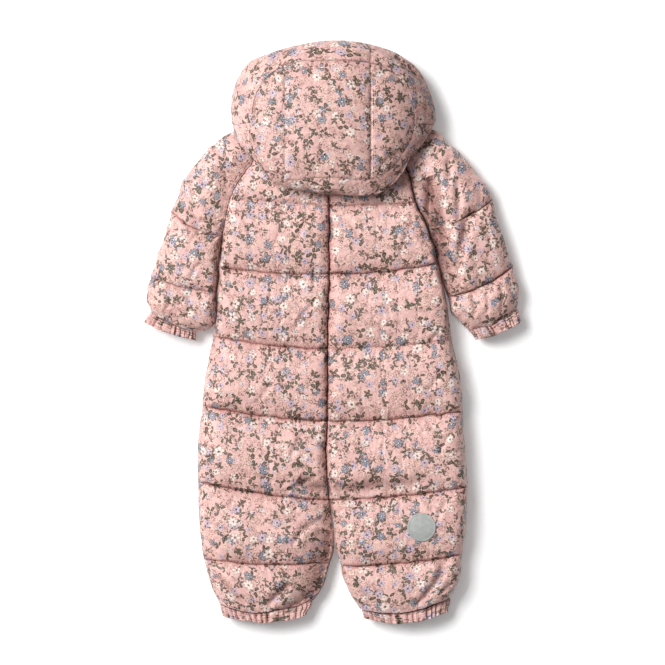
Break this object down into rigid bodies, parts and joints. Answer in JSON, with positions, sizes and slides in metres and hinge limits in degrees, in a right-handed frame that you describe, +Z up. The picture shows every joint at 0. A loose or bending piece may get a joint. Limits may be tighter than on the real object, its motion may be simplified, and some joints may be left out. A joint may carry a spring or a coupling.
{
  "type": "baby snowsuit",
  "caption": "Padded one-piece suit for a baby, lying flat on its front: quilted back, raglan sleeves, gathered cuffs, a padded hood turned up and a front zip underneath.",
  "frame": {"origin": "centre of the bounding box's bottom, on the surface that the suit lies on", "axes": "+X to the wearer's right arm, +Y to the hood, +Z up through the back of the suit"},
  "size_m": [0.524, 0.8136, 0.0959],
  "materials": {
    "shell_fabric": "soft satin woven polyester, printed all over with small flowers",
    "zip_tape": "woven tape",
    "zip_coil": "moulded nylon coil",
    "zip_metal": "satin grey lacquer",
    "reflective": "silver reflective print with fine dots"
  },
  "bodies": {
    "suit": {"back_left": "shell_fabric", "back_right": "shell_fabric", "front_left": "shell_fabric", "front_right": "shell_fabric", "sleeve_left": "shell_fabric", "sleeve_right": "shell_fabric", "hood_centre": "shell_fabric", "hood_side_left": "shell_fabric", "hood_side_right": "shell_fabric", "hood_brim": "shell_fabric", "hood_neck_band": "shell_fabric", "cuff_sleeve_left": "shell_fabric", "cuff_sleeve_right": "shell_fabric", "cuff_leg_left": "shell_fabric", "cuff_leg_right": "shell_fabric", "zip_tape": "zip_tape", "zip_coil": "zip_coil", "zip_slider": "zip_metal", "reflective_patch": "reflective"},
    "pull": {"zip_pull": "zip_metal"}
  },
  "joints": [
    {"name": "zip_pull_swing", "type": "hinge", "parent": "suit", "child": "pull", "pos_m": [-0.006, 0.184, 0.0066], "axis": [1, 0, 0], "range_deg": [-14, 150]}
  ]
}
